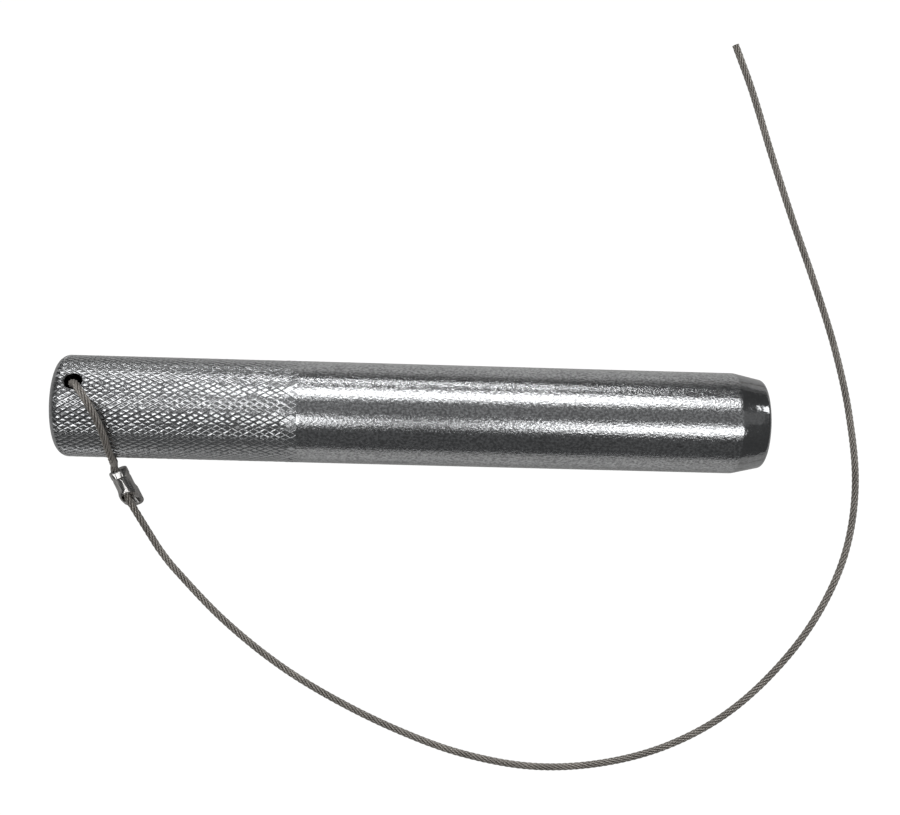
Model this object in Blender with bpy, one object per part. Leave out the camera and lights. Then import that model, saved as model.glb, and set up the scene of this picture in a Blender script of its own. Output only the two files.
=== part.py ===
"""Jack stand pin: a knurled and cross-drilled steel pin with a wire rope lanyard crimped through it.

The pin lies on its side along X with its knurled end at -X and its lead-in tip at +X.
The origin is on the surface under the middle of the pin. Sizes are in metres.
"""

import math

import bmesh
import bpy
from mathutils import Euler, Matrix, Vector
from mathutils.geometry import interpolate_bezier

MM = 0.001

# Pin, turned from one bar
PIN_LENGTH = 176.0 * MM
PIN_DIAMETER = 25.4 * MM
EDGE_RADIUS = 3.0 * MM
TIP_CONE_LENGTH = 7.6 * MM
TIP_CONE_ANGLE = math.radians(12.6)
TIP_EDGE_RADIUS = 1.3 * MM
ROUND_STEPS = 3

# Diamond knurl
KNURL_LENGTH = 56.3 * MM
KNURL_TEETH = 52
KNURL_ANGLE = math.radians(30)
KNURL_DEPTH = 0.35 * MM
KNURL_RUNOUT = 0.4 * MM

# Cross hole for the lanyard, near the knurled end
HOLE_DIAMETER = 4.2 * MM
HOLE_FROM_END = 5.7 * MM
HOLE_LEAN = math.radians(29)
HOLE_SIDES = 24

# Wire rope
ROPE_DIAMETER = 1.8 * MM
LOOP_SPACING = 2.8 * MM
ARC_SPACING = 8.4 * MM
ROPE_CLEARANCE = 0.25 * MM

# Crimped sleeve that closes the loop, its two bores one over the other and its outer end cut aslant
SLEEVE_LENGTH = 8.8 * MM
SLEEVE_WIDTH = 3.6 * MM
SLEEVE_WALL = 0.6 * MM
BORE_SPACING = 2.1 * MM
MOUTH_FLARE = 0.35 * MM
MOUTH_DEPTH = 0.8 * MM
COLLAR_LENGTH = 2.2 * MM
CRIMP_LENGTH = 3.3 * MM
CRIMP_RUN = 0.5 * MM
CRIMP_SQUEEZE = 0.3 * MM
END_SLANT = math.radians(32)
RIDGE_HEIGHT = 0.25 * MM
SLEEVE_SIDES = 24
BORE_SIDES = 20
SLEEVE_PAST_HOLE = 9.2 * MM
SLEEVE_STANDOFF = 3.3 * MM
SLEEVE_HEIGHT = 4.9 * MM
SLEEVE_HEADING = math.radians(-64.6)
SLEEVE_SLOPE = math.radians(12)
SLEEVE_ROLL = math.radians(35)
TAIL_SHORT = 0.9 * MM

# Rope in the cross hole, from its lower mouth to its upper one: along the hole and aside, in millimetres
ROPE_IN_HOLE = [(-12.5, 0.85), (-9.0, -0.45), (0.0, 0.0), (9.0, 0.2), (12.5, 0.85)]

# Rope under the pin, from the lower bore of the sleeve to the hole, in millimetres
ROPE_UNDER_PIN = [
    (-75.2, -14.3, 4.8),
    (-76.3, -13.1, 4.1),
    (-77.7, -11.9, 2.5),
    (-79.3, -11.0, 1.5),
    (-80.9, -9.7, 1.2),
    (-81.9, -8.3, 1.5),
]

# Rope over the pin: millimetres past the hole, degrees round the pin from its top, millimetres off its surface
ROPE_OVER_PIN = [
    (1.3, 21.1, 2.0),
    (2.5, 15.0, 3.1),
    (4.0, 7.9, 3.3),
    (5.4, -0.7, 2.8),
    (7.0, -14.2, 2.0),
    (8.1, -31.3, 1.4),
    (8.6, -49.6, 1.4),
    (8.8, -67.7, 1.6),
    (7.7, -91.4, 1.4),
    (6.8, -104.9, 2.1),
]

# Free rope from the sleeve to its bare end, in millimetres
ROPE_ARC = [
    (-69.1, -28.8, 3.6),
    (-67.2, -32.3, 2.1),
    (-64.4, -36.8, 1.2),
    (-60.6, -41.5, 0.95),
    (-47.8, -54.3, 0.95),
    (-33.3, -65.6, 0.95),
    (-18.4, -74.4, 0.95),
    (-1.6, -82.2, 0.95),
    (15.1, -87.9, 0.95),
    (33.5, -90.9, 0.95),
    (51.3, -89.8, 0.95),
    (68.3, -85.1, 0.95),
    (83.8, -76.6, 0.95),
    (97.0, -64.5, 0.95),
    (107.6, -50.1, 0.95),
    (114.7, -33.6, 0.95),
    (117.0, -15.9, 0.95),
    (114.9, 2.9, 0.95),
    (110.7, 20.1, 0.95),
    (104.9, 37.1, 0.95),
    (98.6, 53.8, 0.95),
    (92.6, 70.7, 0.95),
    (86.9, 87.7, 0.95),
    (82.2, 99.6, 0.95),
]

# Worked out from the sizes above
PIN_RADIUS = PIN_DIAMETER / 2
POINTS_AROUND = 2 * KNURL_TEETH
TOOTH_WIDTH = math.pi * PIN_DIAMETER / KNURL_TEETH
ROW_TARGET = TOOTH_WIDTH / math.tan(KNURL_ANGLE) / 2
KNURL_ROWS = max(2, round(KNURL_LENGTH / ROW_TARGET))
ROW_LENGTH = KNURL_LENGTH / KNURL_ROWS
KNURL_START = EDGE_RADIUS + KNURL_RUNOUT
KNURL_END = KNURL_START + KNURL_LENGTH
HOLE_CENTRE = Vector((HOLE_FROM_END - PIN_LENGTH / 2, 0, PIN_RADIUS))
HOLE_AXIS = Vector((0, math.sin(HOLE_LEAN), math.cos(HOLE_LEAN)))
HOLE_SIDE = Vector((0, -math.cos(HOLE_LEAN), math.sin(HOLE_LEAN)))
BORE_RADIUS = ROPE_DIAMETER / 2 + ROPE_CLEARANCE
SLEEVE_DEPTH = BORE_SPACING + 2 * BORE_RADIUS + 2 * SLEEVE_WALL
SLEEVE_MIDDLE = SLEEVE_LENGTH / 2 * math.cos(SLEEVE_SLOPE)
SLEEVE_PLACE = Matrix.Translation(
    (
        HOLE_CENTRE.x + SLEEVE_PAST_HOLE,
        SLEEVE_MIDDLE * math.sin(SLEEVE_HEADING) - PIN_RADIUS - SLEEVE_STANDOFF,
        SLEEVE_HEIGHT,
    )
) @ Euler((SLEEVE_ROLL, SLEEVE_SLOPE, SLEEVE_HEADING)).to_matrix().to_4x4()
TINY = 0.00001 * MM


def clear_scene():
    for old in list(bpy.data.objects):
        bpy.data.objects.remove(old)


def material(name, colour, roughness):
    """A bare metal."""
    made = bpy.data.materials.new(name)
    made.use_nodes = True
    shader = made.node_tree.nodes["Principled BSDF"]
    shader.inputs["Base Color"].default_value = (*colour, 1)
    shader.inputs["Roughness"].default_value = roughness
    shader.inputs["Metallic"].default_value = 1
    return made


def zinc_plated_steel():
    return material("zinc_plated_steel", (0.58, 0.6, 0.63), 0.34)


def galvanised_wire():
    return material("galvanised_wire", (0.42, 0.4, 0.36), 0.45)


def sleeve_metal():
    return material("sleeve_metal", (0.5, 0.5, 0.49), 0.3)


def new_object(name, data, finish=None):
    made = bpy.data.objects.new(name, data)
    bpy.context.scene.collection.objects.link(made)
    if finish:
        data.materials.append(finish)
    return made


def mesh_object(name, shape, finish=None):
    """An object from a bmesh, shaded smooth apart from its edges."""
    data = bpy.data.meshes.new(name)
    bmesh.ops.recalc_face_normals(shape, faces=shape.faces)
    shape.to_mesh(data)
    shape.free()
    data.shade_smooth()
    data.set_sharp_from_angle(angle=math.radians(32))
    return new_object(name, data, finish)


def cut(target, cutter):
    """Takes the cutter's shape out of the target."""
    cutter.hide_render = True
    cutter.display_type = "WIRE"
    cutting = target.modifiers.new(cutter.name, "BOOLEAN")
    cutting.operation = "DIFFERENCE"
    cutting.solver = "EXACT"
    cutting.object = cutter


def arc(centre, radius, first, last, steps):
    """Points of an arc in the profile plane, its angles measured from the radial direction."""
    points = []
    for step in range(steps + 1):
        angle = first + (last - first) * step / steps
        points.append((centre[0] + radius * math.sin(angle), centre[1] + radius * math.cos(angle)))
    return points


def pin_profile():
    """The turned outline as (distance from the knurled end, radius), with one point on each knurl row."""
    end_edge = arc((EDGE_RADIUS, PIN_RADIUS - EDGE_RADIUS), EDGE_RADIUS, -math.pi / 2, 0, ROUND_STEPS)
    rows = [(KNURL_START + row * ROW_LENGTH, PIN_RADIUS) for row in range(KNURL_ROWS + 1)]
    runout = (KNURL_END + KNURL_RUNOUT, PIN_RADIUS)
    cone_start = PIN_LENGTH - TIP_CONE_LENGTH
    edge_x = PIN_LENGTH - TIP_EDGE_RADIUS
    cone_radius = PIN_RADIUS - (edge_x - cone_start) * math.tan(TIP_CONE_ANGLE)
    edge_centre = (edge_x, cone_radius - TIP_EDGE_RADIUS / math.cos(TIP_CONE_ANGLE))
    tip_edge = arc(edge_centre, TIP_EDGE_RADIUS, TIP_CONE_ANGLE, math.pi / 2, ROUND_STEPS)
    return [*end_edge, *rows, runout, (cone_start, PIN_RADIUS), *tip_edge]


def knurl_grid(shape):
    """Sinks every other point of the knurl's rows and joins the sunk ones by grooves, which leaves diamonds."""
    grooves = []
    for point in shape.verts:
        row = (point.co.x + PIN_LENGTH / 2 - KNURL_START) / ROW_LENGTH
        if not -0.01 < row < KNURL_ROWS + 0.01:
            continue
        column = math.atan2(point.co.y, point.co.z) / math.tau * POINTS_AROUND
        if (round(row) + round(column)) % 2 == 0:
            point.co.y *= 1 - KNURL_DEPTH / PIN_RADIUS
            point.co.z *= 1 - KNURL_DEPTH / PIN_RADIUS
            grooves.append(point)
    bmesh.ops.connect_verts(shape, verts=grooves)


def make_pin(finish):
    shape = bmesh.new()
    profile = [shape.verts.new((x - PIN_LENGTH / 2, 0, radius)) for x, radius in pin_profile()]
    edges = [shape.edges.new(pair) for pair in zip(profile, profile[1:])]
    bmesh.ops.spin(
        shape,
        geom=profile + edges,
        axis=(1, 0, 0),
        cent=(0, 0, 0),
        angle=math.tau,
        steps=POINTS_AROUND,
        use_merge=True,
    )
    bmesh.ops.remove_doubles(shape, verts=shape.verts, dist=TINY)
    knurl_grid(shape)
    bmesh.ops.holes_fill(shape, edges=shape.edges)
    pin = mesh_object("pin", shape, finish)
    pin.location.z = PIN_RADIUS
    cut(pin, hole_cutter())
    return pin


def hole_cutter():
    """The drill for the lanyard's hole, which leans towards +Y at its top."""
    shape = bmesh.new()
    bmesh.ops.create_cone(
        shape,
        cap_ends=True,
        segments=HOLE_SIDES,
        radius1=HOLE_DIAMETER / 2,
        radius2=HOLE_DIAMETER / 2,
        depth=2 * PIN_DIAMETER,
    )
    drill = mesh_object("hole_drill", shape)
    drill.location = HOLE_CENTRE
    drill.rotation_euler.x = -HOLE_LEAN
    return drill


def sleeve_stations():
    """Places along the sleeve, each with how far the dies have squeezed it there."""
    near = -SLEEVE_LENGTH / 2
    crimp = near + COLLAR_LENGTH + CRIMP_RUN
    return [
        (near, 0),
        (near + COLLAR_LENGTH, 0),
        (crimp, 1),
        (crimp + CRIMP_LENGTH, 1),
        (crimp + CRIMP_LENGTH + CRIMP_RUN, 0),
        (SLEEVE_LENGTH, 0),
    ]


def sleeve_ring(shape, place, squeeze):
    """One oval section of the sleeve, with the fin that the dies raise on each side where they meet."""
    ring = []
    for side in range(SLEEVE_SIDES):
        angle = math.tau * side / SLEEVE_SIDES
        fin = RIDGE_HEIGHT * squeeze if side % (SLEEVE_SIDES // 2) == SLEEVE_SIDES // 6 else 0
        across = SLEEVE_WIDTH / 2 + CRIMP_SQUEEZE * squeeze / 2 + fin
        up = SLEEVE_DEPTH / 2 - CRIMP_SQUEEZE * squeeze + fin
        ring.append(shape.verts.new((place, across * math.cos(angle), up * math.sin(angle))))
    return ring


def make_sleeve(finish):
    shape = bmesh.new()
    rings = [sleeve_ring(shape, place, squeeze) for place, squeeze in sleeve_stations()]
    loops = []
    for ring in rings:
        loops.extend(shape.edges.new((a, b)) for a, b in zip(ring, ring[1:] + ring[:1]))
    bmesh.ops.bridge_loops(shape, edges=loops)
    upright = Vector((math.cos(END_SLANT), 0, math.sin(END_SLANT)))
    bmesh.ops.bisect_plane(
        shape,
        geom=shape.verts[:] + shape.edges[:] + shape.faces[:],
        dist=TINY,
        plane_co=(SLEEVE_LENGTH / 2, 0, 0),
        plane_no=Matrix.Rotation(-SLEEVE_ROLL, 3, "X") @ upright,
        clear_outer=True,
    )
    bmesh.ops.holes_fill(shape, edges=shape.edges)
    sleeve = mesh_object("crimp_sleeve", shape, finish)
    sleeve.matrix_world = SLEEVE_PLACE
    for name, side in (("lower_bore", -1), ("upper_bore", 1)):
        cut(sleeve, bore_cutter(name, side * BORE_SPACING / 2))
    return sleeve


def bore_cutter(name, height):
    """A bore with a flared mouth where the rope comes in."""
    near = -SLEEVE_LENGTH / 2
    profile = [
        (near - MOUTH_DEPTH, 0),
        (near - MOUTH_DEPTH, BORE_RADIUS + 2 * MOUTH_FLARE),
        (near + MOUTH_DEPTH, BORE_RADIUS),
        (SLEEVE_LENGTH, BORE_RADIUS),
        (SLEEVE_LENGTH, 0),
    ]
    shape = bmesh.new()
    points = [shape.verts.new((x, 0, radius)) for x, radius in profile]
    edges = [shape.edges.new(pair) for pair in zip(points, points[1:])]
    bmesh.ops.spin(
        shape,
        geom=points + edges,
        axis=(1, 0, 0),
        cent=(0, 0, 0),
        angle=math.tau,
        steps=BORE_SIDES,
        use_merge=True,
    )
    bmesh.ops.remove_doubles(shape, verts=shape.verts, dist=TINY)
    bore = mesh_object(name, shape)
    bore.matrix_world = SLEEVE_PLACE @ Matrix.Translation((0, 0, height))
    return bore


def in_hole(along, aside):
    """A point of the rope in the cross hole."""
    return HOLE_CENTRE + HOLE_AXIS * along * MM + HOLE_SIDE * aside * MM


def over_pin(past_hole, degrees, proud):
    """A point of the rope beside the pin's surface."""
    angle = math.radians(degrees)
    reach = PIN_RADIUS + proud * MM
    return Vector(
        (
            HOLE_CENTRE.x + past_hole * MM,
            reach * math.sin(angle),
            PIN_RADIUS + reach * math.cos(angle),
        )
    )


def in_sleeve(side, shares):
    """Points of the rope along one bore, at shares of the sleeve's length from its middle."""
    height = side * BORE_SPACING / 2
    return [SLEEVE_PLACE @ Vector((share * SLEEVE_LENGTH, 0, height)) for share in shares]


def rope_route():
    """The points of the loop, from the tail in the sleeve, and of the free rope after it."""
    tail = 0.5 - TAIL_SHORT / SLEEVE_LENGTH
    loop = in_sleeve(-1, (tail, 0.0, -0.5))
    loop += [Vector(point) * MM for point in ROPE_UNDER_PIN]
    loop += [in_hole(*point) for point in ROPE_IN_HOLE]
    loop += [over_pin(*point) for point in ROPE_OVER_PIN]
    loop += in_sleeve(1, (-0.5, 0.0, 0.5))
    free = [Vector(point) * MM for point in ROPE_ARC]
    return loop, free


def smooth(points):
    """A closely spaced curve through the points."""
    ends = [points[0] * 2 - points[1], *points, points[-1] * 2 - points[-2]]
    curve = []
    for before, here, there, after in zip(ends, ends[1:], ends[2:], ends[3:]):
        reach = (there - here).length / 3
        leave = here + (there - before).normalized() * reach
        arrive = there - (after - here).normalized() * reach
        curve.extend(interpolate_bezier(here, leave, arrive, there, 24)[:-1])
    curve.append(points[-1])
    return curve


def spaced(curve, loop_end):
    """Points along the curve, closer together in the loop than after the place where it ends."""
    kept = [curve[0]]
    spacing = LOOP_SPACING
    for point in curve[1:-1]:
        if (point - loop_end).length < TINY:
            spacing = ARC_SPACING
        if (point - kept[-1]).length >= spacing:
            kept.append(point)
    if (curve[-1] - kept[-1]).length < spacing / 2:
        kept.pop()
    kept.append(curve[-1])
    return kept


def make_rope(finish):
    loop, free = rope_route()
    points = spaced(smooth(loop + free), free[2])
    data = bpy.data.curves.new("lanyard_rope", "CURVE")
    data.dimensions = "3D"
    data.bevel_depth = ROPE_DIAMETER / 2
    data.bevel_resolution = 2
    data.use_fill_caps = True
    data.twist_mode = "MINIMUM"
    spline = data.splines.new("POLY")
    spline.points.add(len(points) - 1)
    for target, point in zip(spline.points, points):
        target.co = (*point, 1)
    return new_object("lanyard_rope", data, finish)


def main():
    clear_scene()
    make_pin(zinc_plated_steel())
    make_sleeve(sleeve_metal())
    make_rope(galvanised_wire())


main()
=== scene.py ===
"""Jack stand pin dressed for display.

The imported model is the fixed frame. Two operators build the finished pieces over it: one the plated and
knurled pin, the other the stranded wire rope with the crimped sleeve that closes its loop. A third sets up
the stage.
"""

import math

import bmesh
import bpy
from mathutils import Euler, Matrix, Vector, noise
from mathutils.geometry import interpolate_bezier


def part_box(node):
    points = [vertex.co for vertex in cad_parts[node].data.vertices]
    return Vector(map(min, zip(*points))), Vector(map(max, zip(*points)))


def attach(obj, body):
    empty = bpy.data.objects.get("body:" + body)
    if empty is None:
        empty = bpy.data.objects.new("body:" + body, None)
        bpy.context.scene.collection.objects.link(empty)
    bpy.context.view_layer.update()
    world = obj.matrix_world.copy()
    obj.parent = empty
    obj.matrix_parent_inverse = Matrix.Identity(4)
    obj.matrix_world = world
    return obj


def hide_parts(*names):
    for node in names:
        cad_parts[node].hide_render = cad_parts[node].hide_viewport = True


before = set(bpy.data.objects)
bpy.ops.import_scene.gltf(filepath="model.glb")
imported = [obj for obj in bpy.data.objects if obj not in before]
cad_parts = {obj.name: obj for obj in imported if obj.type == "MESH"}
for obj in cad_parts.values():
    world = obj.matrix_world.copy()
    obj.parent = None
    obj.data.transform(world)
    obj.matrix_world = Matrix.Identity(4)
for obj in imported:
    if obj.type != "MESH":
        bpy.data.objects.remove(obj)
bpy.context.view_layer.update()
PIN_LOW, PIN_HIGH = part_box("pin")

bl_info = {
    "name": "Jack stand pin",
    "version": (1, 0, 0),
    "blender": (4, 5, 0),
    "location": "View3D > Sidebar > Jack pin",
    "description": "Dresses a knurled jack stand pin and its wire rope lanyard",
    "category": "Add Mesh",
}

MM = 0.001
TINY = 0.00001 * MM

# Rope in the cross hole, from its lower mouth to its upper one: along the hole and aside, in millimetres
ROPE_IN_HOLE = [(-12.5, 0.85), (-9.0, -0.45), (0.0, 0.0), (9.0, 0.2), (12.5, 0.85)]

# Rope under the pin, from the lower bore of the sleeve to the hole, in millimetres
ROPE_UNDER_PIN = [
    (-76.0, -14.6, 4.5),
    (-76.6, -13.2, 3.8),
    (-78.0, -11.9, 2.5),
    (-79.3, -11.0, 1.5),
    (-80.9, -9.7, 1.2),
    (-81.9, -8.3, 1.5),
]

# Rope over the pin: millimetres past the hole, degrees round the pin from its top, millimetres off it
ROPE_OVER_PIN = [
    (1.3, 21.1, 2.0),
    (2.5, 15.0, 3.1),
    (4.0, 7.9, 3.3),
    (5.4, -0.7, 2.8),
    (7.0, -14.2, 2.0),
    (8.1, -31.3, 1.4),
    (8.6, -49.6, 1.4),
    (8.8, -67.7, 1.6),
    (7.8, -91.4, 1.4),
    (7.0, -104.9, 2.1),
]

# Free rope from the sleeve to its bare end, in millimetres
ROPE_ARC = [
    (-69.1, -28.8, 3.6),
    (-67.2, -32.3, 2.1),
    (-64.4, -36.8, 1.2),
    (-60.6, -41.5, 0.95),
    (-47.8, -54.3, 0.95),
    (-33.3, -65.6, 0.95),
    (-18.4, -74.4, 0.95),
    (-1.6, -82.2, 0.95),
    (15.1, -87.9, 0.95),
    (33.5, -90.9, 0.95),
    (51.3, -89.8, 0.95),
    (68.3, -85.1, 0.95),
    (83.8, -76.6, 0.95),
    (97.0, -64.5, 0.95),
    (107.6, -50.1, 0.95),
    (114.7, -33.6, 0.95),
    (117.0, -15.9, 0.95),
    (114.9, 2.9, 0.95),
    (110.7, 20.1, 0.95),
    (104.9, 37.1, 0.95),
    (98.6, 53.8, 0.95),
    (92.6, 70.7, 0.95),
    (86.9, 87.7, 0.95),
    (82.2, 99.6, 0.95),
]

# Where the rope's points lie along a bore: those near the mouths keep it straight inside
BORE_SHARES = (0, 0.15, 0.5, 0.85, 1)

# Steps from a groove to a diamond's top: width and rise as shares of the groove's depth
DIAMOND_STEPS = ((0.4, 0.6), (0.45, 0.17), (0.75, 0.11))

# How much the tops of the diamonds tilt, how quickly that changes and the seed that keeps it the same
TOP_TILT = 0.12
TILT_SCALE = 900
TILT_SEED = 7

# Rings that keep the shank's shading straight, in millimetres past the knurl and before the cone
RINGS_PAST_KNURL = (0.4, 0.8, 1.2)
RINGS_BEFORE_CONE = (1.1, 0.7, 0.3)

# Lamps: name, degrees from the vertical, distance, middle along the pin, length, width and radiance
LAMPS = (
    ("back_lamp", 45, 1.2, -0.29, 1.42, 0.42, 2.9),
    ("back_lamp_end", 45, 1.2, 1.49, 0.78, 0.3, 4),
    ("low_lamp", 73.5, 1.5, -0.42, 1.46, 0.06, 8.6),
    ("front_lamp_left", -18.5, 1.3, -0.74, 1.26, 0.38, 3),
    ("front_lamp_right", -18.5, 1.3, 0.475, 0.63, 0.38, 3),
    ("sky_lamp", 14, 1.4, 0.2, 2.6, 0.86, 0.14),
)

# The camera's place in millimetres and its turn in radians
EYE_PLACE = (-1.98, 0, 333.4)
EYE_TURN = (0.0055, -0.0348, 0.0269)


def length_setting(name, description, default):
    return bpy.props.FloatProperty(
        name=name, description=description, default=default, subtype="DISTANCE", unit="LENGTH"
    )


def angle_setting(name, description, degrees):
    return bpy.props.FloatProperty(
        name=name, description=description, default=math.radians(degrees), subtype="ANGLE", unit="ROTATION"
    )


def colour_setting(name, description, default):
    return bpy.props.FloatVectorProperty(
        name=name, description=description, default=default, subtype="COLOR", size=3, min=0, max=1
    )


class PinSettings(bpy.types.PropertyGroup):
    length: length_setting("Length", "Length of the pin", PIN_HIGH.x - PIN_LOW.x)
    diameter: length_setting("Diameter", "Diameter of the bar", PIN_HIGH.z - PIN_LOW.z)
    edge_radius: length_setting("Edge radius", "Rounding of the knurled end", 3.0 * MM)
    cone_length: length_setting("Cone length", "Length of the lead-in at the tip", 7.6 * MM)
    cone_angle: angle_setting("Cone angle", "Slope of the lead-in", 12.6)
    tip_radius: length_setting("Tip radius", "Rounding of the tip's edge", 1.3 * MM)
    knurl_start: length_setting("Knurl start", "Where the knurl starts, in the end's rounding", 1.3 * MM)
    knurl_end: length_setting("Knurl end", "Where the knurl ends, from the knurled end", 59.7 * MM)
    knurl_teeth: bpy.props.IntProperty(
        name="Knurl teeth", description="Diamonds round the bar", default=54, min=12, max=90
    )
    knurl_angle: angle_setting("Knurl angle", "Angle of the grooves to the bar", 30)
    groove_deep: length_setting("Deep groove", "Depth of the grooves at the end of the pin", 0.3 * MM)
    groove_shallow: length_setting("Shallow groove", "Depth of the grooves where the knurl ends", 0.15 * MM)
    hole_diameter: length_setting("Hole diameter", "Cross hole for the lanyard", 4.2 * MM)
    hole_from_end: length_setting("Hole from end", "Cross hole's distance from the knurled end", 5.7 * MM)
    hole_lean: angle_setting("Hole lean", "Turn of the cross hole round the pin", 29)
    plating: colour_setting("Plating", "Colour of the zinc plating", (0.56, 0.568, 0.578))


class RopeSettings(bpy.types.PropertyGroup):
    diameter: length_setting("Diameter", "Diameter of the wire rope", 1.85 * MM)
    strands: bpy.props.IntProperty(
        name="Strands", description="Outer strands of the rope", default=6, min=3, max=8
    )
    lay: length_setting("Lay", "Length of one turn of a strand", 9.2 * MM)
    ring_spacing: length_setting("Ring spacing", "Distance between rings of the rope's mesh", 0.46 * MM)
    wire: colour_setting("Wire", "Colour of the galvanised wire", (0.425, 0.4, 0.37))


class SleeveSettings(bpy.types.PropertyGroup):
    length: length_setting("Length", "Length of the sleeve along its middle", 8.8 * MM)
    width: length_setting("Width", "Width of the sleeve across its bores", 3.6 * MM)
    bore_spacing: length_setting("Bore spacing", "Distance between its two bores", 2.1 * MM)
    clearance: length_setting("Clearance", "Gap between rope and bore", 0.1 * MM)
    past_hole: length_setting("Past hole", "Sleeve's distance from the cross hole along the pin", 9.2 * MM)
    standoff: length_setting("Stand-off", "Sleeve's distance from the side of the pin", 3.3 * MM)
    height: length_setting("Height", "Height of the sleeve's middle", 4.9 * MM)
    heading: angle_setting("Heading", "Direction of the sleeve seen from above", -64.6)
    slope: angle_setting("Slope", "How far the sleeve dips away from the pin", 12)
    roll_inner: angle_setting("Inner roll", "Turn of the bores about the sleeve's length at the pin", -20)
    roll_outer: angle_setting("Outer roll", "Turn of the bores at the outer end", 35)
    shift_inner: length_setting("Inner shift", "How far aside the bores start at the pin", -0.75 * MM)
    slant: angle_setting("Slant", "Slant of the cut at the outer end", 44)
    roof: bpy.props.FloatProperty(
        name="Roof",
        description="Roundness of the crimped part: 2 is an ellipse, less is a roof",
        default=1.45,
    )
    ridge_shift: length_setting("Ridge shift", "How far aside the ridge of the crimped part lies", 0.45 * MM)
    tail_short: length_setting("Tail", "Distance from the rope's tail to the sleeve's end", 0.9 * MM)
    metal: colour_setting("Metal", "Colour of the crimped metal", (0.5, 0.49, 0.48))


class StageSettings(bpy.types.PropertyGroup):
    floor: colour_setting("Floor", "Colour of the floor", (0.68, 0.674, 0.664))
    room: colour_setting("Room", "Colour of the dim room round the stage", (0.095, 0.096, 0.097))
    lens: bpy.props.FloatProperty(
        name="Lens", description="Focal length of the camera", default=51.0, min=20, max=120, unit="CAMERA"
    )


class Signal:
    """One output of a material's nodes. Arithmetic on it adds Math nodes."""

    def __init__(self, nodes, socket):
        self.nodes = nodes
        self.socket = socket

    def math(self, operation, first, second=0.0):
        return self.nodes.add("ShaderNodeMath", {"operation": operation}, {0: first, 1: second})

    def __add__(self, other):
        return self.math("ADD", self, other)

    def __radd__(self, other):
        return self.math("ADD", other, self)

    def __sub__(self, other):
        return self.math("SUBTRACT", self, other)

    def __rsub__(self, other):
        return self.math("SUBTRACT", other, self)

    def __mul__(self, other):
        return self.math("MULTIPLY", self, other)

    def __rmul__(self, other):
        return self.math("MULTIPLY", other, self)

    def __truediv__(self, other):
        return self.math("DIVIDE", self, other)

    def power(self, exponent):
        return self.math("POWER", self, exponent)

    def ramp(self, low, high):
        """0 below low, 1 above high and a smooth rise between them."""
        return self.nodes.add(
            "ShaderNodeMapRange",
            {"interpolation_type": "SMOOTHSTEP"},
            {"Value": self, "From Min": low, "From Max": high},
        )


class Nodes:
    """The nodes of one metal."""

    def __init__(self, name):
        self.material = bpy.data.materials.new(name)
        self.material.use_nodes = True
        self.tree = self.material.node_tree
        self.shader = self.tree.nodes["Principled BSDF"]
        self.shader.inputs["Metallic"].default_value = 1

    def add(self, kind, settings, inputs, output=0):
        made = self.tree.nodes.new(kind)
        for key, value in settings.items():
            setattr(made, key, value)
        for key, value in inputs.items():
            self.feed(value, made.inputs[key])
        return Signal(self, made.outputs[output])

    def feed(self, value, socket):
        if isinstance(value, Signal):
            self.tree.links.new(value.socket, socket)
        else:
            socket.default_value = value

    def place(self):
        """Object coordinates."""
        return self.add("ShaderNodeTexCoord", {}, {}, "Object")

    def axes(self, vector):
        return [self.add("ShaderNodeSeparateXYZ", {}, {0: vector}, axis) for axis in "XYZ"]

    def stretched(self, vector, scale):
        return self.add("ShaderNodeMapping", {}, {"Vector": vector, "Scale": scale})

    def noise(self, vector, scale, detail=2.0, roughness=0.5):
        return self.add(
            "ShaderNodeTexNoise",
            {},
            {"Vector": vector, "Scale": scale, "Detail": detail, "Roughness": roughness},
        )

    def shade(self, colour, amount):
        """A colour times a brightness."""
        level = self.add("ShaderNodeCombineColor", {}, {0: amount, 1: amount, 2: amount})
        return self.add(
            "ShaderNodeMix",
            {"data_type": "RGBA", "blend_type": "MULTIPLY"},
            {0: 1.0, 6: colour, 7: level},
            2,
        )

    def bump(self, height, distance):
        return self.add("ShaderNodeBump", {}, {"Height": height, "Distance": distance, "Strength": 1.0})

    def finish(self, colour, roughness, normal):
        self.feed(colour, self.shader.inputs["Base Color"])
        self.feed(roughness, self.shader.inputs["Roughness"])
        self.feed(normal, self.shader.inputs["Normal"])
        return self.material


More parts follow.
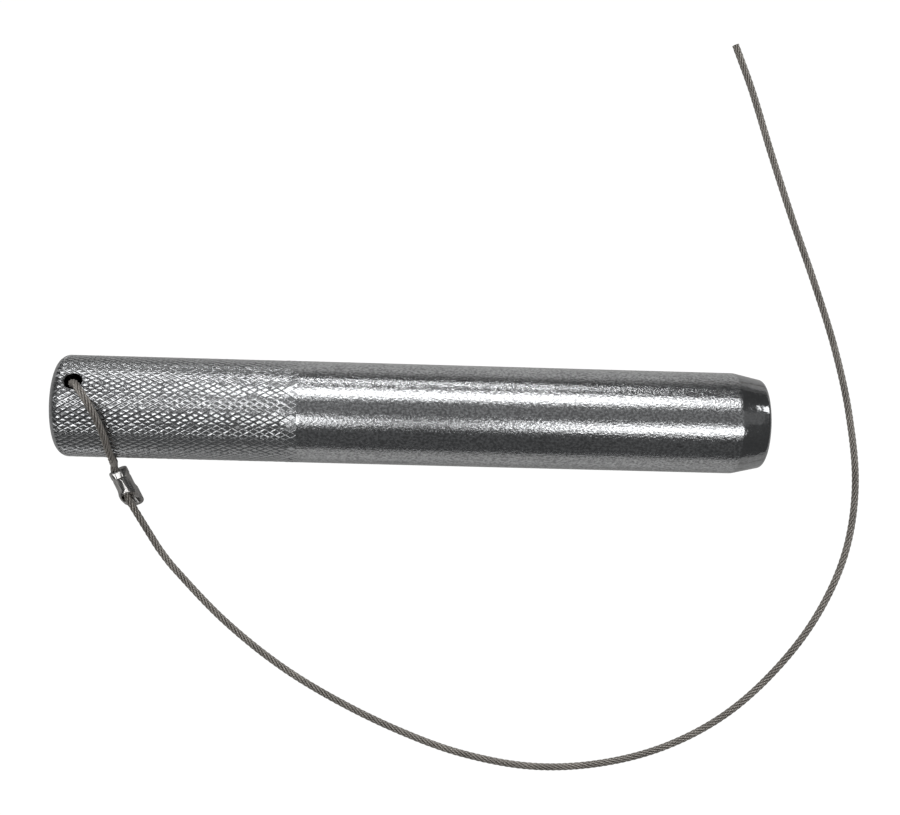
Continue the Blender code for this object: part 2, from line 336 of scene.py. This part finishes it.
def plated_steel(pin):
    """Zinc plating with a grain that glints, drawing lines along the bar and dull marks from handling."""
    nodes = Nodes("plated_steel")
    place = nodes.place()
    along, across, up = nodes.axes(place)
    radius = (across * across + (up - pin.diameter / 2) * (up - pin.diameter / 2)).power(0.5)
    knurl_end = pin.knurl_end - pin.length / 2
    shank = along.ramp(knurl_end - 0.2 * MM, knurl_end + 0.2 * MM)
    cone_start = pin.length / 2 - pin.cone_length
    cone = along.ramp(cone_start - 0.3 * MM, cone_start + 0.5 * MM)
    knurl_start = pin.knurl_start - pin.length / 2
    end = 1 - along.ramp(knurl_start, knurl_start + 0.5 * MM)
    grain = nodes.noise(nodes.stretched(place, (0.8, 1, 1)), 1900, 3, 0.6)
    glint = grain.ramp(0.36, 0.64)
    lines = nodes.noise(nodes.stretched(place, (0.02, 1, 1)), 1200, 2)
    clouds = nodes.noise(nodes.stretched(place, (0.4, 1, 1)), 80, 3)
    spots = nodes.noise(nodes.stretched(place, (0.45, 1, 1)), 260, 2).ramp(0.68, 0.76)
    groove = 1 - radius.ramp(pin.diameter / 2 - pin.groove_deep, pin.diameter / 2 - 0.3 * pin.groove_shallow)
    # The knurl is darker down in its grooves, away from the rounded end.
    groove_darkening = groove * (1 - shank) * (1 - end)
    plain = (1 - shank) * 0.5 + cone * 0.8 + end * 0.3
    bright = 0.88 + (glint - 0.5) * 0.62 * (1 - plain) + (clouds - 0.5) * 0.3
    bright = bright + (1 - shank) * 0.02 - groove_darkening * 0.4 - end * 0.3 - cone * 0.25 - spots * 0.22 * shank
    ripples = nodes.noise(place, 520, 2)
    roughness = 0.12 + (clouds - 0.5) * 0.1 + (1 - glint) * 0.04 + end * 0.15 + (1 - shank) * 0.07
    height = grain * (1 - plain) + lines * 0.12 + ripples * cone * 1.5
    colour = nodes.shade((*pin.plating, 1), bright)
    return nodes.finish(colour, roughness, nodes.bump(height, 0.06 * MM))


def galvanised_wire(rope):
    """Dull wires laid into strands, with painted light on the strands' crowns and painted shade in the
    valleys between them.
    """
    nodes = Nodes("galvanised_wire")
    place = nodes.place()
    lines = nodes.add("ShaderNodeUVMap", {"uv_map": "wires"}, {})
    round_strand, along_strand = nodes.axes(lines)[:2]
    wave = nodes.add(
        "ShaderNodeMath", {"operation": "SINE"}, {0: (round_strand + along_strand) * math.tau}
    )
    # Painted light and shade: each strand is lighter on its crown and darker towards the valleys beside it.
    crown_light_valley_shade = 1 - nodes.add("ShaderNodeMath", {"operation": "ABSOLUTE"}, {0: round_strand}) / 2
    clouds = nodes.noise(place, 160, 3)
    grain = nodes.noise(place, 2500, 2)
    bright = 0.82 + crown_light_valley_shade * 0.25 + (clouds - 0.5) * 0.6 + (grain - 0.5) * 0.5 + wave * 0.06
    colour = nodes.shade((*rope.wire, 1), bright)
    roughness = 0.5 + (grain - 0.5) * 0.2
    return nodes.finish(colour, roughness, nodes.bump(wave * 0.5 + grain * 0.4, 0.04 * MM))


def crimped_metal(sleeve):
    """Bright crimped metal with lines along it from drawing and from the dies."""
    nodes = Nodes("crimped_metal")
    place = nodes.place()
    turned_place = nodes.add(
        "ShaderNodeMapping",
        {"vector_type": "TEXTURE"},
        {"Vector": place, "Rotation": (0, 0, sleeve.heading), "Scale": (12, 1, 1)},
    )
    lines = nodes.noise(turned_place, 1500, 3)
    clouds = nodes.noise(place, 500, 3)
    bright = 0.95 + (clouds - 0.5) * 0.35 + (lines - 0.5) * 1.2
    colour = nodes.shade((*sleeve.metal, 1), bright)
    return nodes.finish(colour, 0.2 + (clouds - 0.5) * 0.15, nodes.bump(lines, 0.04 * MM))


def finished_piece(name, shape, finish, sharp=30):
    """An object from a bmesh in the model's frame, shaded smooth apart from its edges."""
    data = bpy.data.meshes.new(name)
    bmesh.ops.recalc_face_normals(shape, faces=shape.faces)
    shape.to_mesh(data)
    shape.free()
    data.shade_smooth()
    data.set_sharp_from_angle(angle=math.radians(sharp))
    data.materials.append(finish)
    made = bpy.data.objects.new(name, data)
    bpy.context.scene.collection.objects.link(made)
    return made


def cut(target, cutter, sharp=30):
    """Takes the cutter's shape out of the target for good."""
    cutting = target.modifiers.new("cut", "BOOLEAN")
    cutting.operation = "DIFFERENCE"
    cutting.solver = "EXACT"
    cutting.object = cutter
    graph = bpy.context.evaluated_depsgraph_get()
    data = bpy.data.meshes.new_from_object(target.evaluated_get(graph))
    target.modifiers.clear()
    target.data = data
    data.shade_smooth()
    data.set_sharp_from_angle(angle=math.radians(sharp))
    bpy.data.objects.remove(cutter)


def turned(profile, steps):
    """A closed solid of revolution about X from an outline of (place along X, radius)."""
    shape = bmesh.new()
    points = [shape.verts.new((x, 0, radius)) for x, radius in profile]
    edges = [shape.edges.new(pair) for pair in zip(points, points[1:])]
    bmesh.ops.spin(
        shape,
        geom=points + edges,
        axis=(1, 0, 0),
        cent=(0, 0, 0),
        angle=math.tau,
        steps=steps,
        use_merge=True,
    )
    bmesh.ops.remove_doubles(shape, verts=shape.verts, dist=TINY)
    bmesh.ops.holes_fill(shape, edges=shape.edges)
    bmesh.ops.recalc_face_normals(shape, faces=shape.faces)
    return shape


def arc(centre, radius, first, last, steps):
    """Points of an arc in the outline's plane, its angles measured from the radial direction."""
    points = []
    for step in range(steps + 1):
        angle = first + (last - first) * step / steps
        points.append((centre[0] + radius * math.sin(angle), centre[1] + radius * math.cos(angle)))
    return points


def knurl_rows(pin):
    """How many half diamonds lie along the knurl, and the length of each."""
    tooth = math.pi * pin.diameter / pin.knurl_teeth
    length = pin.knurl_end - pin.knurl_start
    rows = round(length / (tooth / math.tan(pin.knurl_angle) / 2))
    return rows, length / rows


def rounded_end(pin):
    """The knurled end's rounded edge from the flat face to the full diameter."""
    left = -pin.length / 2
    centre = (left + pin.edge_radius, pin.diameter / 2 - pin.edge_radius)
    return arc(centre, pin.edge_radius, -math.pi / 2, 0, 12)


def pin_outline(pin):
    """The turned outline from the knurled end to the tip, with a point on each row of the knurl."""
    radius = pin.diameter / 2
    left = -pin.length / 2
    rows, row_length = knurl_rows(pin)
    start = left + pin.knurl_start
    outline = [point for point in rounded_end(pin) if point[0] < start - 0.1 * MM]
    outline += [(start + row * row_length, radius) for row in range(rows + 1)]
    cone_start = pin.length / 2 - pin.cone_length
    edge_x = pin.length / 2 - pin.tip_radius
    cone_radius = radius - (edge_x - cone_start) * math.tan(pin.cone_angle)
    edge_centre = (edge_x, cone_radius - pin.tip_radius / math.cos(pin.cone_angle))
    outline += [(left + pin.knurl_end + step * MM, radius) for step in RINGS_PAST_KNURL]
    outline += [(cone_start - step * MM, radius) for step in RINGS_BEFORE_CONE]
    first_ring = 0.3 * MM
    outline.append((cone_start + first_ring, radius - first_ring * math.tan(pin.cone_angle)))
    outline += arc(edge_centre, pin.tip_radius, pin.cone_angle, math.pi / 2, 8)
    return outline


def sink(point, radius):
    """Moves a point straight in to a radius from the pin's axis."""
    share = radius / math.hypot(point.co.y, point.co.z)
    point.co.y *= share
    point.co.z *= share


def groove_depth(pin, x):
    """The grooves get shallower along the knurl and run out over its last few millimetres."""
    run_out = 4 * MM
    share = (x + pin.length / 2 - pin.knurl_start) / (pin.knurl_end - pin.knurl_start)
    depth = pin.groove_deep + (pin.groove_shallow - pin.groove_deep) * min(max(share, 0), 1)
    left_over = pin.knurl_end - pin.length / 2 - x
    return depth * min(max(left_over / run_out, 0.25), 1)


def roll_grooves(shape, pin):
    """Sinks the knurl's grid and joins every other point of it by grooves, with diamonds between them."""
    rows, row_length = knurl_rows(pin)
    start = pin.knurl_start - pin.length / 2
    groove_points = []
    middles = []
    border_middles = []
    for point in shape.verts:
        row = (point.co.x - start) / row_length
        if not -0.01 < row < rows + 0.01:
            continue
        column = math.atan2(point.co.y, point.co.z) / math.pi * pin.knurl_teeth
        sink(point, pin.diameter / 2 - groove_depth(pin, point.co.x))
        if (round(row) + round(column)) % 2 == 0:
            groove_points.append(point)
        elif 0 < round(row) < rows:
            middles.append(point)
        else:
            border_middles.append(point)
    bmesh.ops.connect_verts(shape, verts=groove_points)
    grooved = set(groove_points)
    inner_edges = []
    for point in border_middles:
        for edge in point.link_edges:
            other = edge.other_vert(point)
            if abs(other.co.x - point.co.x) > row_length / 2 and other in grooved:
                inner_edges.append(edge)
    bmesh.ops.dissolve_edges(shape, edges=inner_edges, use_verts=False)
    bmesh.ops.dissolve_verts(shape, verts=middles)


def raise_diamonds(shape, pin):
    """Raises the diamonds between the grooves, row by row, and wears their tops."""
    rows, row_length = knurl_rows(pin)
    start = pin.knurl_start - pin.length / 2
    bands = {}
    for face in shape.faces:
        places = [(point.co.x - start) / row_length for point in face.verts]
        if min(places) > -0.01 and max(places) < rows + 0.01:
            bands.setdefault(round(min(places)), []).append(face)
    for row, faces in bands.items():
        depth = groove_depth(pin, start + (row + 1) * row_length)
        for share, rise in DIAMOND_STEPS:
            bmesh.ops.inset_individual(
                shape, faces=faces, thickness=depth * share, depth=depth * rise, use_even_offset=True
            )
    noise.seed_set(TILT_SEED)
    for faces in bands.values():
        for face in faces:
            wear(face)
    round_off(shape, pin)


def wear(face):
    """Tilts the top of a diamond a little, as the rolling left it."""
    middle = face.calc_center_median()
    tilt = noise.noise_vector(middle * TILT_SCALE)
    for point in face.verts:
        point.co += face.normal * (point.co - middle).dot(tilt) * TOP_TILT


def round_off(shape, pin):
    """Trims the knurl to the end's rounded edge, which was turned after it."""
    centre = pin.edge_radius - pin.length / 2
    for point in shape.verts:
        inside = centre - point.co.x
        if 0 < inside < pin.edge_radius - pin.knurl_start + 0.05 * MM:
            drop = pin.edge_radius - math.sqrt(pin.edge_radius**2 - inside**2)
            radius = pin.diameter / 2 - drop
            if math.hypot(point.co.y, point.co.z) > radius:
                sink(point, radius)


def build_pin(pin):
    shape = turned(pin_outline(pin), 2 * pin.knurl_teeth)
    roll_grooves(shape, pin)
    raise_diamonds(shape, pin)
    bmesh.ops.translate(shape, verts=shape.verts, vec=(0, 0, pin.diameter / 2))
    facet_angle = 12
    piece = finished_piece("pin_dressed", shape, plated_steel(pin), facet_angle)
    past_surface = 3 * MM
    chamfer_depth = 0.45 * MM
    reach = pin.diameter / 2 + past_surface
    hole = pin.hole_diameter / 2
    rim = pin.diameter / 2 - chamfer_depth
    outline = [
        (-reach, 0),
        (-reach, hole + reach - rim),
        (-rim, hole),
        (rim, hole),
        (reach, hole + reach - rim),
        (reach, 0),
    ]
    drill = turned(outline, 48)
    centre = Vector((pin.hole_from_end - pin.length / 2, 0, pin.diameter / 2))
    lean = Euler((-pin.hole_lean, 0, 0)).to_matrix().to_4x4()
    stand = Euler((0, -math.pi / 2, 0)).to_matrix().to_4x4()
    bmesh.ops.transform(drill, matrix=Matrix.Translation(centre) @ lean @ stand, verts=drill.verts)
    cut(piece, finished_piece("hole_drill", drill, piece.data.materials[0]), facet_angle)
    return piece


def smooth(points):
    """A closely spaced curve through the points."""
    ends = [points[0] * 2 - points[1], *points, points[-1] * 2 - points[-2]]
    curve = []
    for before, here, there, after in zip(ends, ends[1:], ends[2:], ends[3:]):
        reach = (there - here).length / 3
        leave = here + (there - before).normalized() * reach
        arrive = there - (after - here).normalized() * reach
        curve.extend(interpolate_bezier(here, leave, arrive, there, 48)[:-1])
    curve.append(points[-1])
    return curve


def even_points(curve, spacing):
    """Points at equal distances along the curve, and how many there are."""
    lengths = [(b - a).length for a, b in zip(curve, curve[1:])]
    count = round(sum(lengths) / spacing)
    step = sum(lengths) / count
    points = [curve[0]]
    walked = 0.0
    for a, b, length in zip(curve, curve[1:], lengths):
        while walked + length >= step * len(points) and len(points) < count:
            points.append(a.lerp(b, (step * len(points) - walked) / length))
        walked += length
    points.append(curve[-1])
    return points, step


def sleeve_place(sleeve, pin):
    """The sleeve's middle and direction as a matrix, its length along X."""
    reach = sleeve.length / 2 * math.cos(sleeve.slope)
    centre = Vector(
        (
            pin.hole_from_end - pin.length / 2 + sleeve.past_hole,
            reach * math.sin(sleeve.heading) - pin.diameter / 2 - sleeve.standoff,
            sleeve.height,
        )
    )
    return Matrix.Translation(centre) @ Euler((0, sleeve.slope, sleeve.heading)).to_matrix().to_4x4()


def bore_ends(sleeve, side):
    """The ends of a bore's axis in the sleeve: side is 1 for the upper bore and -1 for the lower one."""
    arm = Vector((0, 0, side * sleeve.bore_spacing / 2))
    half = sleeve.length / 2
    inner = Matrix.Rotation(sleeve.roll_inner, 3, "X") @ arm + Vector((-half, sleeve.shift_inner, 0))
    outer = Matrix.Rotation(sleeve.roll_outer, 3, "X") @ arm + Vector((half, 0, 0))
    return inner, outer


def rope_route(pin, sleeve):
    """The rope's points from the tail in the sleeve to the bare end."""
    hole = Vector((pin.hole_from_end - pin.length / 2, 0, pin.diameter / 2))
    axis = Vector((0, math.sin(pin.hole_lean), math.cos(pin.hole_lean)))
    side = Vector((0, -math.cos(pin.hole_lean), math.sin(pin.hole_lean)))
    place = sleeve_place(sleeve, pin)
    inner, outer = bore_ends(sleeve, -1)
    tail = 1 - sleeve.tail_short / sleeve.length
    shares = [tail, *(share for share in reversed(BORE_SHARES) if share <= 0.5)]
    route = [place @ inner.lerp(outer, share) for share in shares]
    route += [Vector(point) * MM for point in ROPE_UNDER_PIN]
    route += [hole + axis * along * MM + side * aside * MM for along, aside in ROPE_IN_HOLE]
    for past_hole, degrees, proud in ROPE_OVER_PIN:
        angle = math.radians(degrees)
        reach = pin.diameter / 2 + proud * MM
        offset = Vector((past_hole * MM, reach * math.sin(angle), reach * math.cos(angle)))
        route.append(hole + offset)
    inner, outer = bore_ends(sleeve, 1)
    route += [place @ inner.lerp(outer, share) for share in BORE_SHARES]
    route += [Vector(point) * MM for point in ROPE_ARC]
    return smooth(route)


def straight_rope(rope, rings, step):
    """A straight rope along X: an outline with one lobe for each strand, swept round the lay."""
    shape = bmesh.new()
    share = math.sin(math.pi / rope.strands)
    strand = rope.diameter / 2 * share / (1 + share)
    centre = rope.diameter / 2 - strand
    widest = math.pi / 2 + math.pi / rope.strands
    lobe_steps = 6
    outline = []
    for lobe in range(rope.strands):
        turn = math.tau * lobe / rope.strands
        for lobe_step in range(lobe_steps):
            angle = widest * (2 * lobe_step / lobe_steps - 1)
            point = Vector((0, centre + strand * math.cos(angle), strand * math.sin(angle)))
            outline.append(shape.verts.new(Matrix.Rotation(turn, 3, "X") @ point))
    edges = [shape.edges.new(pair) for pair in zip(outline, outline[1:] + outline[:1])]
    bmesh.ops.spin(
        shape,
        geom=outline + edges,
        axis=(1, 0, 0),
        cent=(0, 0, 0),
        dvec=(step, 0, 0),
        angle=math.tau * step * rings / rope.lay,
        steps=rings,
    )
    bmesh.ops.holes_fill(shape, edges=shape.edges)
    number_wires(shape, rope, centre)
    return shape


def number_wires(shape, rope, centre):
    """Writes the place round its strand and along it into a UV map, in wires."""
    wires = 6
    wire_lay = rope.lay / 3
    layer = shape.loops.layers.uv.new("wires")
    for face in shape.faces:
        middle = face.calc_center_median()
        turn = math.tau * middle.x / rope.lay
        lobe = round((math.atan2(middle.z, middle.y) - turn) / math.tau * rope.strands)
        for corner in face.loops:
            turn = math.tau * corner.vert.co.x / rope.lay + math.tau * lobe / rope.strands
            point = Matrix.Rotation(-turn, 3, "X") @ corner.vert.co
            angle = math.atan2(point.z, point.y - centre)
            corner[layer].uv = (angle / math.tau * wires, corner.vert.co.x / wire_lay * wires)


def lay_along(shape, points, step):
    """Bends a straight rope along the points, without adding any twist of its own."""
    ways = [(after - before).normalized() for before, after in zip(points, points[2:])]
    ways = [(points[1] - points[0]).normalized(), *ways, (points[-1] - points[-2]).normalized()]
    sides = [ways[0].orthogonal().normalized()]
    for before, after in zip(ways, ways[1:]):
        sides.append(before.rotation_difference(after) @ sides[-1])
    for vertex in shape.verts:
        place = min(max(vertex.co.x / step, 0), len(points) - 1.001)
        index = int(place)
        share = place - index
        way = ways[index].lerp(ways[index + 1], share).normalized()
        side = sides[index].lerp(sides[index + 1], share).normalized()
        third = way.cross(side)
        vertex.co = points[index].lerp(points[index + 1], share) + side * vertex.co.y + third * vertex.co.z


def build_rope(rope, sleeve, pin):
    points, step = even_points(rope_route(pin, sleeve), rope.ring_spacing)
    shape = straight_rope(rope, len(points) - 1, step)
    lay_along(shape, points, step)
    return finished_piece("rope_dressed", shape, galvanised_wire(rope), 50), points


def section(shape, sleeve, place, size, crimped, lobed, crest):
    """A ring across X, cut off flat at its crest.

    It is an ellipse round both bores, which the dies crimp to a roof. At the outer end it follows the bores.
    """
    made = bmesh.ops.create_circle(shape, segments=72, radius=1, matrix=Matrix.Rotation(math.pi / 2, 4, "Y"))
    arm = Matrix.Rotation(sleeve.roll_outer, 3, "X") @ Vector((0, 0, sleeve.bore_spacing / 2))
    half_width = sleeve.width / 2 - arm.y
    half_height = sleeve.width / 2 + arm.z
    power = 2 / (2 + (sleeve.roof - 2) * crimped)
    for point in made["verts"]:
        way = point.co.normalized()
        across = math.copysign(abs(way.y) ** power, way.y) * half_width
        up = math.copysign(abs(way.z) ** power, way.z)
        across += sleeve.ridge_shift * crimped * max(up, 0) ** 2
        crimp = Vector((0, across, up * half_height))
        lobe = way * sleeve.width / 2 + math.copysign(1, way.dot(arm)) * arm
        lobe = max(lobe, crimp, key=lambda vector: vector.length)
        point.co = crimp.lerp(lobe, lobed) * size
        point.co.x = place
        point.co.z = min(point.co.z, crest)
    return list(dict.fromkeys(edge for point in made["verts"] for edge in point.link_edges))


def sleeve_sections(sleeve):
    """Sections from the sleeve's end at the pin: place, size, how far crimped and lobed, and crest."""
    near = -sleeve.length / 2
    return [
        (near, 0.86, 0, 0, 2.15 * MM),
        (near + 0.12 * MM, 0.95, 0, 0, 2.25 * MM),
        (near + 0.4 * MM, 1.0, 0, 0, 2.3 * MM),
        (near + 1.8 * MM, 1.0, 0, 0, 2.42 * MM),
        (near + 1.9 * MM, 0.98, 0, 0, 3 * MM),
        (near + 2.15 * MM, 0.94, 0.1, 0, 3 * MM),
        (near + 2.35 * MM, 0.96, 0.5, 0, 3 * MM),
        (near + 2.6 * MM, 1.0, 1, 0, 3 * MM),
        (near + 5.0 * MM, 1.0, 1, 0, 3 * MM),
        (near + 5.4 * MM, 1.0, 0.6, 0.2, 3 * MM),
        (near + 5.8 * MM, 1.0, 0.2, 0.7, 3 * MM),
        (near + 6.3 * MM, 1.03, 0, 1, 4 * MM),
        (near + 8.4 * MM, 1.04, 0, 1, 4 * MM),
        (near + 12 * MM, 1.04, 0, 1, 4 * MM),
    ]


def drilled(piece, outline, place, ends):
    """Drills a turned outline along the line between two points of the piece's own frame."""
    inner, outer = ends
    drill = turned(outline, 32)
    way = (outer - inner).to_track_quat("X", "Z").to_matrix().to_4x4()
    middle = Matrix.Translation(inner.lerp(outer, 0.5))
    bmesh.ops.transform(drill, matrix=place @ middle @ way, verts=drill.verts)
    cut(piece, finished_piece("drill", drill, piece.data.materials[0]))


def build_sleeve(sleeve, rope, pin):
    shape = bmesh.new()
    loops = []
    for station in sleeve_sections(sleeve):
        loops += section(shape, sleeve, *station)
    bmesh.ops.bridge_loops(shape, edges=loops)
    bmesh.ops.holes_fill(shape, edges=shape.edges)
    half = sleeve.length / 2
    slant_middle = half - 0.4 * MM
    slanted = bmesh.ops.bisect_plane(
        shape,
        geom=shape.verts[:] + shape.edges[:] + shape.faces[:],
        dist=TINY,
        plane_co=(slant_middle, 0, 0),
        plane_no=(math.cos(sleeve.slant), 0, math.sin(sleeve.slant)),
        clear_outer=True,
    )
    rim = [item for item in slanted["geom_cut"] if isinstance(item, bmesh.types.BMEdge)]
    faces = bmesh.ops.holes_fill(shape, edges=rim)["faces"]
    bmesh.ops.inset_region(shape, faces=faces, thickness=0.12 * MM, depth=0.08 * MM)
    place = sleeve_place(sleeve, pin)
    bmesh.ops.transform(shape, matrix=place, verts=shape.verts)
    piece = finished_piece("sleeve_dressed", shape, crimped_metal(sleeve))
    bore = rope.diameter / 2 + sleeve.clearance
    flare = 0.5 * MM
    outside = half + 4 * MM
    for side in (-1, 1):
        outline = [
            (-half - 0.8 * MM, 0),
            (-half - 0.8 * MM, bore + flare),
            (-half + 0.3 * MM, bore),
            (outside, bore),
            (outside, 0),
        ]
        drilled(piece, outline, place, bore_ends(sleeve, side))
    inner, outer = bore_ends(sleeve, 1)
    hollow_radius = bore + 0.45 * MM
    hollow = [
        (half - 4.6 * MM, 0),
        (half - 2.6 * MM, hollow_radius),
        (outside, hollow_radius),
        (outside, 0),
    ]
    aside = Matrix.Rotation(sleeve.roll_outer, 3, "X") @ Vector((0, 0, 0.2 * MM))
    drilled(piece, hollow, place, (inner + aside, outer + aside))
    return piece


class JACKPIN_OT_pin(bpy.types.Operator):
    """Builds the plated pin with its knurl and cross hole"""

    bl_idname = "jackpin.pin"
    bl_label = "Pin"

    def execute(self, context):
        piece = build_pin(context.scene.jackpin_pin)
        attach(piece, "root")
        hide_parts("pin")
        return {"FINISHED"}


class JACKPIN_OT_lanyard(bpy.types.Operator):
    """Builds the stranded rope and the crimped sleeve that closes its loop"""

    bl_idname = "jackpin.lanyard"
    bl_label = "Lanyard"

    def execute(self, context):
        scene = context.scene
        sleeve = build_sleeve(scene.jackpin_sleeve, scene.jackpin_rope, scene.jackpin_pin)
        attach(sleeve, "root")
        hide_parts("crimp_sleeve")
        rope, points = build_rope(scene.jackpin_rope, scene.jackpin_sleeve, scene.jackpin_pin)
        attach(rope, "root")
        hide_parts("lanyard_rope")
        length = sum((b - a).length for a, b in zip(points, points[1:]))
        return {"FINISHED"}


def floor_material(stage):
    """A floor that shows as white, keeps the object's shadow and is painted darker far behind the pin as
    shade.
    """
    made = bpy.data.materials.new("floor_card")
    made.use_nodes = True
    tree = made.node_tree
    tree.nodes.clear()
    card = tree.nodes.new("ShaderNodeBsdfDiffuse")
    place = tree.nodes.new("ShaderNodeTexCoord")
    split = tree.nodes.new("ShaderNodeSeparateXYZ")
    tree.links.new(place.outputs["Object"], split.inputs[0])
    # Painted shade: the floor's colour falls to about a third far behind the pin, which dims the metal's
    # reflection of it.
    fall = tree.nodes.new("ShaderNodeMapRange")
    tree.links.new(split.outputs["Y"], fall.inputs["Value"])
    fall.inputs["From Min"].default_value = 70 * MM
    fall.inputs["From Max"].default_value = 120 * MM
    tint = tree.nodes.new("ShaderNodeMix")
    tint.data_type = "RGBA"
    tree.links.new(fall.outputs[0], tint.inputs[0])
    tint.inputs[6].default_value = (*stage.floor, 1)
    tint.inputs[7].default_value = (*(0.35 * value for value in stage.floor), 1)
    tree.links.new(tint.outputs[2], card.inputs["Color"])
    glow = tree.nodes.new("ShaderNodeEmission")
    glow.inputs["Strength"].default_value = 1.12
    path = tree.nodes.new("ShaderNodeLightPath")
    shares = {"Is Camera Ray": 0.9, "Is Glossy Ray": 0.05, "Is Transmission Ray": 0.05}
    share = None
    for ray, weight in shares.items():
        scaled = tree.nodes.new("ShaderNodeMath")
        scaled.operation = "MULTIPLY_ADD"
        tree.links.new(path.outputs[ray], scaled.inputs[0])
        scaled.inputs[1].default_value = weight
        scaled.inputs[2].default_value = 0
        if share:
            tree.links.new(share, scaled.inputs[2])
        share = scaled.outputs[0]
    mixed = tree.nodes.new("ShaderNodeMixShader")
    tree.links.new(share, mixed.inputs[0])
    tree.links.new(card.outputs[0], mixed.inputs[1])
    tree.links.new(glow.outputs[0], mixed.inputs[2])
    output = tree.nodes.new("ShaderNodeOutputMaterial")
    tree.links.new(mixed.outputs[0], output.inputs["Surface"])
    return made


def soft_lamp(name, degrees, distance, middle, length, width, level):
    """A long lamp over the pin, turned round it from the vertical, at a radiance."""
    angle = math.radians(degrees)
    data = bpy.data.lights.new(name, "AREA")
    data.shape = "RECTANGLE"
    data.size = length
    data.size_y = width
    data.energy = level * math.pi * length * width
    lamp = bpy.data.objects.new(name, data)
    lamp.location = (middle, distance * math.sin(angle), distance * math.cos(angle))
    lamp.rotation_euler = (-angle, 0, 0)
    bpy.context.scene.collection.objects.link(lamp)


class JACKPIN_OT_stage(bpy.types.Operator):
    """Sets up the pale floor, the soft lamps, the room and the camera"""

    bl_idname = "jackpin.stage"
    bl_label = "Stage"

    def execute(self, context):
        scene = context.scene
        stage = scene.jackpin_stage
        shape = bmesh.new()
        bmesh.ops.create_grid(shape, x_segments=1, y_segments=1, size=3)
        data = bpy.data.meshes.new("floor")
        shape.to_mesh(data)
        shape.free()
        data.materials.append(floor_material(stage))
        floor = bpy.data.objects.new("floor", data)
        floor.location.z = -0.05 * MM
        scene.collection.objects.link(floor)
        for lamp in LAMPS:
            soft_lamp(*lamp)
        world = bpy.data.worlds.new("room")
        world.use_nodes = True
        world.node_tree.nodes["Background"].inputs["Color"].default_value = (*stage.room, 1)
        scene.world = world
        camera = bpy.data.cameras.new("camera")
        camera.lens = stage.lens
        camera.sensor_width = 36
        camera.clip_start = 0.01
        camera.dof.use_dof = False
        eye = bpy.data.objects.new("camera", camera)
        eye.location = [value * MM for value in EYE_PLACE]
        eye.rotation_euler = EYE_TURN
        scene.collection.objects.link(eye)
        scene.camera = eye
        scene.view_settings.view_transform = "Standard"
        return {"FINISHED"}


class JACKPIN_PT_panel(bpy.types.Panel):
    bl_label = "Jack stand pin"
    bl_idname = "JACKPIN_PT_panel"
    bl_space_type = "VIEW_3D"
    bl_region_type = "UI"
    bl_category = "Jack pin"

    def draw(self, context):
        for label, group in (("Pin", "pin"), ("Rope", "rope"), ("Sleeve", "sleeve"), ("Stage", "stage")):
            box = self.layout.box()
            box.label(text=label)
            settings = getattr(context.scene, "jackpin_" + group)
            for name in settings.__annotations__:
                box.prop(settings, name)
        for operator in ("jackpin.stage", "jackpin.pin", "jackpin.lanyard"):
            self.layout.operator(operator)


GROUPS = {"pin": PinSettings, "rope": RopeSettings, "sleeve": SleeveSettings, "stage": StageSettings}
CLASSES = (
    *GROUPS.values(),
    JACKPIN_OT_pin,
    JACKPIN_OT_lanyard,
    JACKPIN_OT_stage,
    JACKPIN_PT_panel,
)


def register():
    for item in CLASSES:
        bpy.utils.register_class(item)
    for name, group in GROUPS.items():
        setattr(bpy.types.Scene, "jackpin_" + name, bpy.props.PointerProperty(type=group))


def unregister():
    for name in GROUPS:
        delattr(bpy.types.Scene, "jackpin_" + name)
    for item in reversed(CLASSES):
        bpy.utils.unregister_class(item)


def main():
    register()
    bpy.ops.jackpin.stage()
    bpy.ops.jackpin.pin()
    bpy.ops.jackpin.lanyard()


if __name__ == "__main__":
    main()
